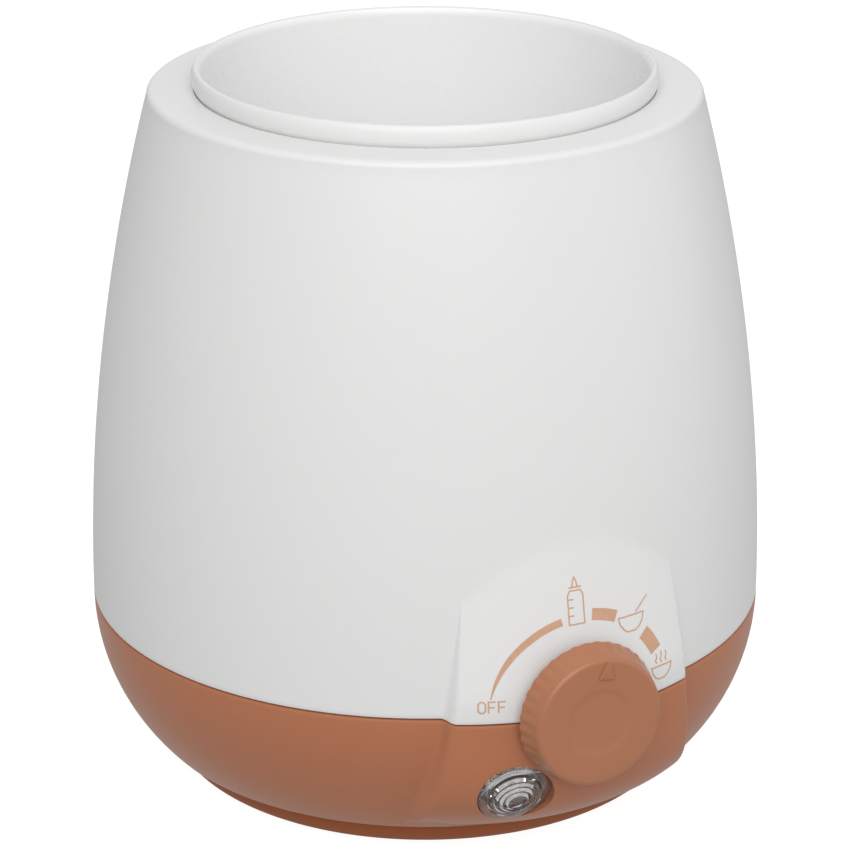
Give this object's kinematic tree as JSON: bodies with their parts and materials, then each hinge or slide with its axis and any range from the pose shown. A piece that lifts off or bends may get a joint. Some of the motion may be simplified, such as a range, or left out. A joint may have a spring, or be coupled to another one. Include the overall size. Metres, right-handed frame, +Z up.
{
  "type": "bottle warmer",
  "caption": "Table-top bottle warmer: a tapered white housing on a caramel base, a deep heated water cup, and a turning dial and a lamp lens on a bulged front console.",
  "frame": {"origin": "on the turned housing's upright axis, in the plane that the feet stand on; the bottom cover's flat underside is 1 mm above it", "axes": "+Z up along the turned axis, -Y towards the control console, +X to the right of someone who faces the console"},
  "size_m": [0.132, 0.1421, 0.141],
  "materials": {
    "gloss_white": "gloss",
    "caramel_plastic": "satin",
    "umber_plastic": "satin",
    "clear_plastic": "clear",
    "aluminium": "satin",
    "zinc_steel": "zinc plated",
    "brass": "turned",
    "spring_bronze": "rolled",
    "ceramic": "unglazed",
    "mica": "flaky",
    "silicone": "matte",
    "rubber": "matte",
    "black_nylon": "matte",
    "ivory_nylon": "matte",
    "brown_insulation": "matte",
    "blue_insulation": "matte"
  },
  "bodies": {
    "body": {"upper_housing": "gloss_white", "base_shell": "caramel_plastic", "water_cup": "gloss_white", "plate_seal": "silicone", "heating_plate": "aluminium", "clamp_screw_left": "zinc_steel", "clamp_screw_right": "zinc_steel", "bracket_screw_left": "zinc_steel", "bracket_screw_right": "zinc_steel", "fuse_clip_screw": "zinc_steel", "ptc_heater": "aluminium", "mica_sheet": "mica", "heater_clamp": "zinc_steel", "thermal_fuse": "ceramic", "fuse_clip": "zinc_steel", "thermostat_bracket": "zinc_steel", "spindle_bush": "brass", "stack_spacer_front": "ceramic", "stack_spacer_middle": "ceramic", "stack_spacer_rear": "ceramic", "moving_contact_leaf": "spring_bronze", "fixed_contact_leaf": "spring_bronze", "bimetal_blade": "zinc_steel", "stack_rivet": "zinc_steel", "lamp_lens": "clear_plastic", "lamp_holder": "ivory_nylon", "neon_lamp": "clear_plastic", "bottom_cover": "umber_plastic", "case_screw_1": "zinc_steel", "case_screw_2": "zinc_steel", "case_screw_3": "zinc_steel", "case_screw_4": "zinc_steel", "rubber_foot_1": "rubber", "rubber_foot_2": "rubber", "rubber_foot_3": "rubber", "rubber_foot_4": "rubber", "cable_gland": "black_nylon", "gland_nut": "black_nylon", "terminal_block": "ivory_nylon", "terminal_screw": "zinc_steel", "line_lead": "brown_insulation", "switched_lead": "brown_insulation", "fuse_lead": "brown_insulation", "neutral_lead": "blue_insulation", "lamp_line_lead": "brown_insulation", "lamp_neutral_lead": "blue_insulation"},
    "knob": {"control_knob": "caramel_plastic", "spindle": "brass"},
    "adjuster": {"adjuster_pin": "ceramic"}
  },
  "joints": [
    {"name": "knob_turn", "type": "hinge", "parent": "body", "child": "knob", "pos_m": [0, -0.07, 0.0363], "axis": [0, 1, 0], "range_deg": [-88, 69]},
    {"name": "adjuster_slide", "type": "slide", "parent": "body", "child": "adjuster", "axis": [0, 1, 0], "range_m": [-0.00018, 0.00014]}
  ],
  "couplings": [
    {"joint": "adjuster_slide", "follows": "knob_turn", "m_per_rad": 0.0001114}
  ]
}
